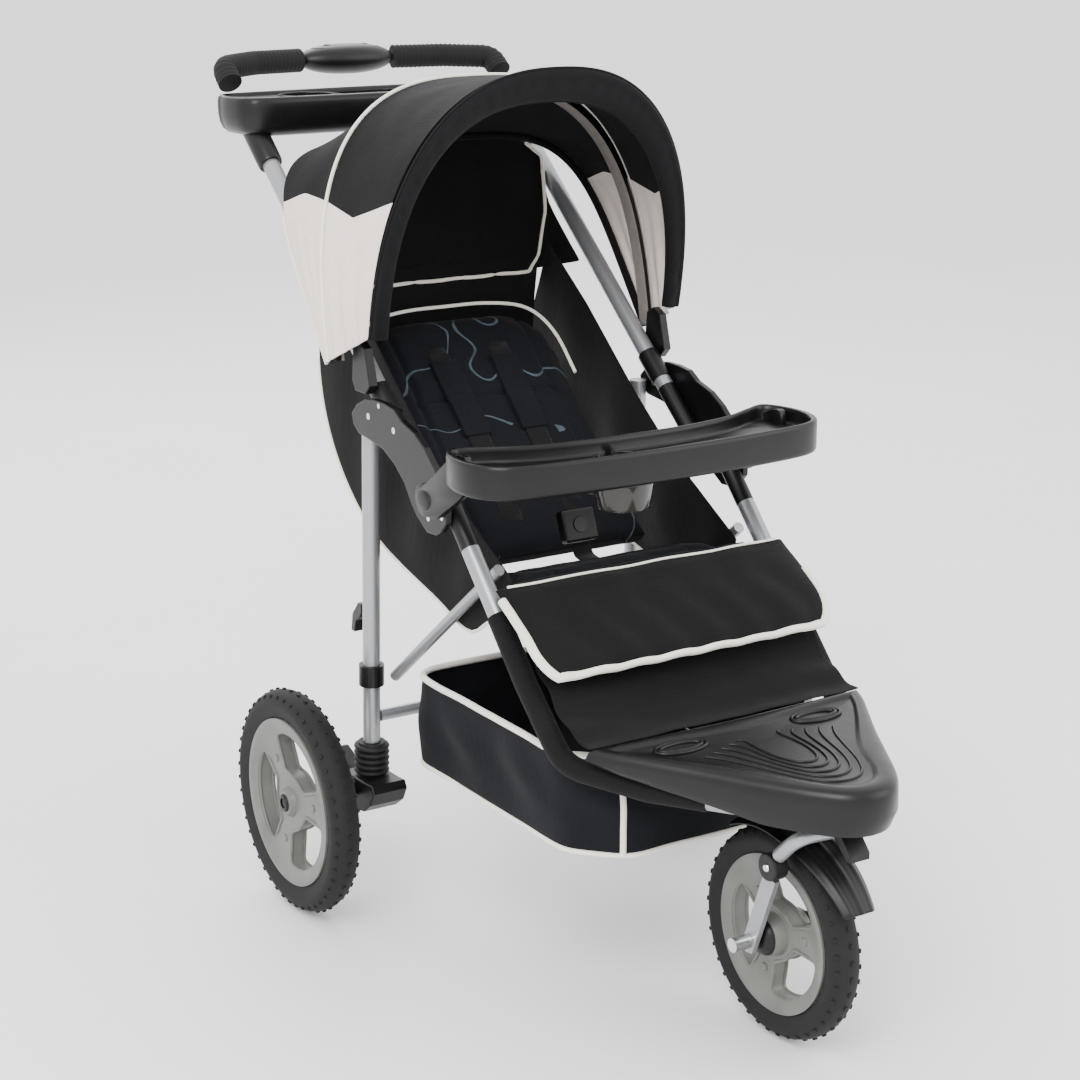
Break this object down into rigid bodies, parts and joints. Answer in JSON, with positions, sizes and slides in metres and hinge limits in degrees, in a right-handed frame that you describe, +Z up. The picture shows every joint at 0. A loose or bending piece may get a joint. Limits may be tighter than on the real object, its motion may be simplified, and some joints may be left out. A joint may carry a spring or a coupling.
{
  "type": "jogging stroller",
  "caption": "Three-wheeled folding jogging stroller with swivelling front wheel, three-part canopy, child tray, parent tray and storage basket.",
  "frame": {"origin": "on the ground below the middle of the overall length and width", "axes": "+Z up, the stroller faces -Y, its own right-hand side is -X"},
  "size_m": [0.664, 1.226, 1.083],
  "materials": {
    "silver_paint": "satin silver paint on aluminium tube",
    "charcoal_plastic": "satin moulded, fine grain",
    "black_plastic": "satin moulded",
    "smoked_plastic": "smoked, glossy",
    "tyre_rubber": "matt rubber with small tread blocks",
    "grip_foam": "matt foam with ribs",
    "boot_rubber": "matt, ribbed",
    "rim_plastic": "warm grey moulded",
    "black_fabric": "woven polyester",
    "canopy_fabric": "woven polyester",
    "webbing": "woven webbing",
    "cream_binding": "woven tape, used for the piping and the canopy's lower sides",
    "steel": "bright"
  },
  "bodies": {
    "front_frame": {"lower_frame_tube": "silver_paint", "steering_head": "silver_paint", "footrest": "charcoal_plastic", "footrest_fabric": "black_fabric", "calf_flap": "black_fabric", "seat_base": "black_fabric", "seat_wing_R": "black_fabric", "seat_wing_L": "black_fabric", "basket": "black_fabric", "crotch_strap": "webbing", "buckle": "black_plastic", "seat_hinge_rod": "steel"},
    "tray": {"child_tray": "charcoal_plastic", "cup_holder": "smoked_plastic"},
    "button": {"buckle_button": "black_plastic"},
    "backrest": {"seat_back": "black_fabric", "shoulder_strap_R": "webbing", "shoulder_strap_L": "webbing"},
    "handle_frame": {"handle_tube_R": "silver_paint", "handle_tube_L": "silver_paint", "hinge_bracket_R": "charcoal_plastic", "hinge_bracket_L": "charcoal_plastic", "grip_R": "grip_foam", "grip_L": "grip_foam", "handle_console": "black_plastic", "parent_tray": "charcoal_plastic", "canopy_pivot_R": "black_plastic", "canopy_pivot_L": "black_plastic", "canopy_rear_panel": "canopy_fabric"},
    "canopy_middle": {"canopy_mid_bow": "black_plastic", "canopy_mid_panel": "canopy_fabric"},
    "canopy_rim": {"canopy_front_rim": "canopy_fabric"},
    "rear_frame": {"rear_leg_R": "silver_paint", "rear_leg_L": "silver_paint", "leg_clamp_R": "black_plastic", "leg_clamp_L": "black_plastic", "rear_crossbar": "silver_paint"},
    "latch": {"fold_latch": "black_plastic"},
    "brace_right": {"brace_R": "silver_paint"},
    "brace_left": {"brace_L": "silver_paint"},
    "suspension_right": {"suspension_housing_R": "black_plastic", "suspension_boot_R": "boot_rubber"},
    "suspension_left": {"suspension_housing_L": "black_plastic", "suspension_boot_L": "boot_rubber"},
    "brake_right": {"brake_pedal_R": "black_plastic"},
    "brake_left": {"brake_pedal_L": "black_plastic"},
    "rear_wheel_right": {"rear_tyre_R": "tyre_rubber", "rear_rim_R": "rim_plastic"},
    "rear_wheel_left": {"rear_tyre_L": "tyre_rubber", "rear_rim_L": "rim_plastic"},
    "fork": {"fork_arms": "silver_paint", "fork_knuckle_R": "black_plastic", "fork_knuckle_L": "black_plastic", "fork_blade_R": "silver_paint", "fork_blade_L": "silver_paint", "front_axle": "steel", "mudguard": "black_plastic"},
    "lock_lever": {"swivel_lock": "black_plastic"},
    "front_wheel": {"front_tyre": "tyre_rubber", "front_rim": "rim_plastic"}
  },
  "joints": [
    {"name": "handle_fold", "type": "hinge", "parent": "front_frame", "child": "handle_frame", "pos_m": [0, -0.039, 0.587], "axis": [-1, 0, 0], "range_deg": [0, 85], "deforming": ["basket", "seat_wing_R", "seat_wing_L"]},
    {"name": "rear_fold", "type": "hinge", "parent": "handle_frame", "child": "rear_frame", "pos_m": [0, 0.1448, 0.645], "axis": [1, 0, 0], "range_deg": [0, 40], "deforming": ["basket", "seat_wing_R", "seat_wing_L"]},
    {"name": "brace_fold_right", "type": "hinge", "parent": "front_frame", "child": "brace_right", "pos_m": [-0.179, -0.12, 0.511], "axis": [-1, 0, 0], "range_deg": [0, 72]},
    {"name": "brace_fold_left", "type": "hinge", "parent": "front_frame", "child": "brace_left", "pos_m": [0.179, -0.12, 0.511], "axis": [-1, 0, 0], "range_deg": [0, 72]},
    {"name": "backrest_recline", "type": "hinge", "parent": "front_frame", "child": "backrest", "pos_m": [0, 0.032, 0.43], "axis": [-1, 0, 0], "range_deg": [-20, 12]},
    {"name": "canopy_front_fold", "type": "hinge", "parent": "canopy_middle", "child": "canopy_rim", "pos_m": [0, 0.13, 0.738], "axis": [-1, 0, 0], "range_deg": [0, 26], "deforming": ["canopy_mid_panel", "canopy_rear_panel"]},
    {"name": "canopy_middle_fold", "type": "hinge", "parent": "handle_frame", "child": "canopy_middle", "pos_m": [0, 0.13, 0.738], "axis": [-1, 0, 0], "range_deg": [0, 22.1], "deforming": ["canopy_mid_panel", "canopy_rear_panel"]},
    {"name": "tray_lift", "type": "hinge", "parent": "front_frame", "child": "tray", "pos_m": [0, -0.039, 0.587], "axis": [-1, 0, 0], "range_deg": [0, 45]},
    {"name": "buckle_press", "type": "slide", "parent": "front_frame", "child": "button", "axis": [0, 0.936, -0.352], "range_m": [0, 0.0022], "stiffness_N_per_m": 600, "springref_m": -0.001},
    {"name": "latch_swing", "type": "hinge", "parent": "rear_frame", "child": "latch", "pos_m": [-0.205, 0.173, 0.394], "axis": [1, 0, 0], "range_deg": [0, 60]},
    {"name": "steering_swivel", "type": "hinge", "parent": "front_frame", "child": "fork", "pos_m": [0, -0.541, 0.2872], "axis": [0, 0, 1], "continuous": true},
    {"name": "swivel_lock_lever", "type": "hinge", "parent": "fork", "child": "lock_lever", "pos_m": [0, -0.5565, 0.29], "axis": [-1, 0, 0], "range_deg": [0, 25]},
    {"name": "front_wheel_spin", "type": "hinge", "parent": "fork", "child": "front_wheel", "pos_m": [0, -0.451, 0.1287], "axis": [1, 0, 0], "continuous": true},
    {"name": "suspension_travel_right", "type": "slide", "parent": "rear_frame", "child": "suspension_right", "axis": [0, -0.0356, 0.9994], "range_m": [0, 0.012], "stiffness_N_per_m": 8000, "springref_m": -0.012, "deforming": ["suspension_boot_R"]},
    {"name": "brake_press_right", "type": "hinge", "parent": "suspension_right", "child": "brake_right", "pos_m": [-0.205, 0.2135, 0.147], "axis": [-1, 0, 0], "range_deg": [0, 15]},
    {"name": "rear_wheel_spin_right", "type": "hinge", "parent": "suspension_right", "child": "rear_wheel_right", "pos_m": [-0.312, 0.167, 0.149], "axis": [1, 0, 0], "continuous": true},
    {"name": "suspension_travel_left", "type": "slide", "parent": "rear_frame", "child": "suspension_left", "axis": [0, -0.0356, 0.9994], "range_m": [0, 0.012], "stiffness_N_per_m": 8000, "springref_m": -0.012, "deforming": ["suspension_boot_L"]},
    {"name": "brake_press_left", "type": "hinge", "parent": "suspension_left", "child": "brake_left", "pos_m": [0.205, 0.2135, 0.147], "axis": [-1, 0, 0], "range_deg": [0, 15]},
    {"name": "rear_wheel_spin_left", "type": "hinge", "parent": "suspension_left", "child": "rear_wheel_left", "pos_m": [0.312, 0.167, 0.149], "axis": [1, 0, 0], "continuous": true}
  ],
  "couplings": [
    {"joint": "rear_fold", "follows": "handle_fold", "ratio": 0.426},
    {"joint": "brace_fold_right", "follows": "handle_fold", "ratio": 0.783},
    {"joint": "brace_fold_left", "follows": "handle_fold", "ratio": 0.783},
    {"joint": "canopy_middle_fold", "follows": "canopy_front_fold", "ratio": 0.85}
  ]
}
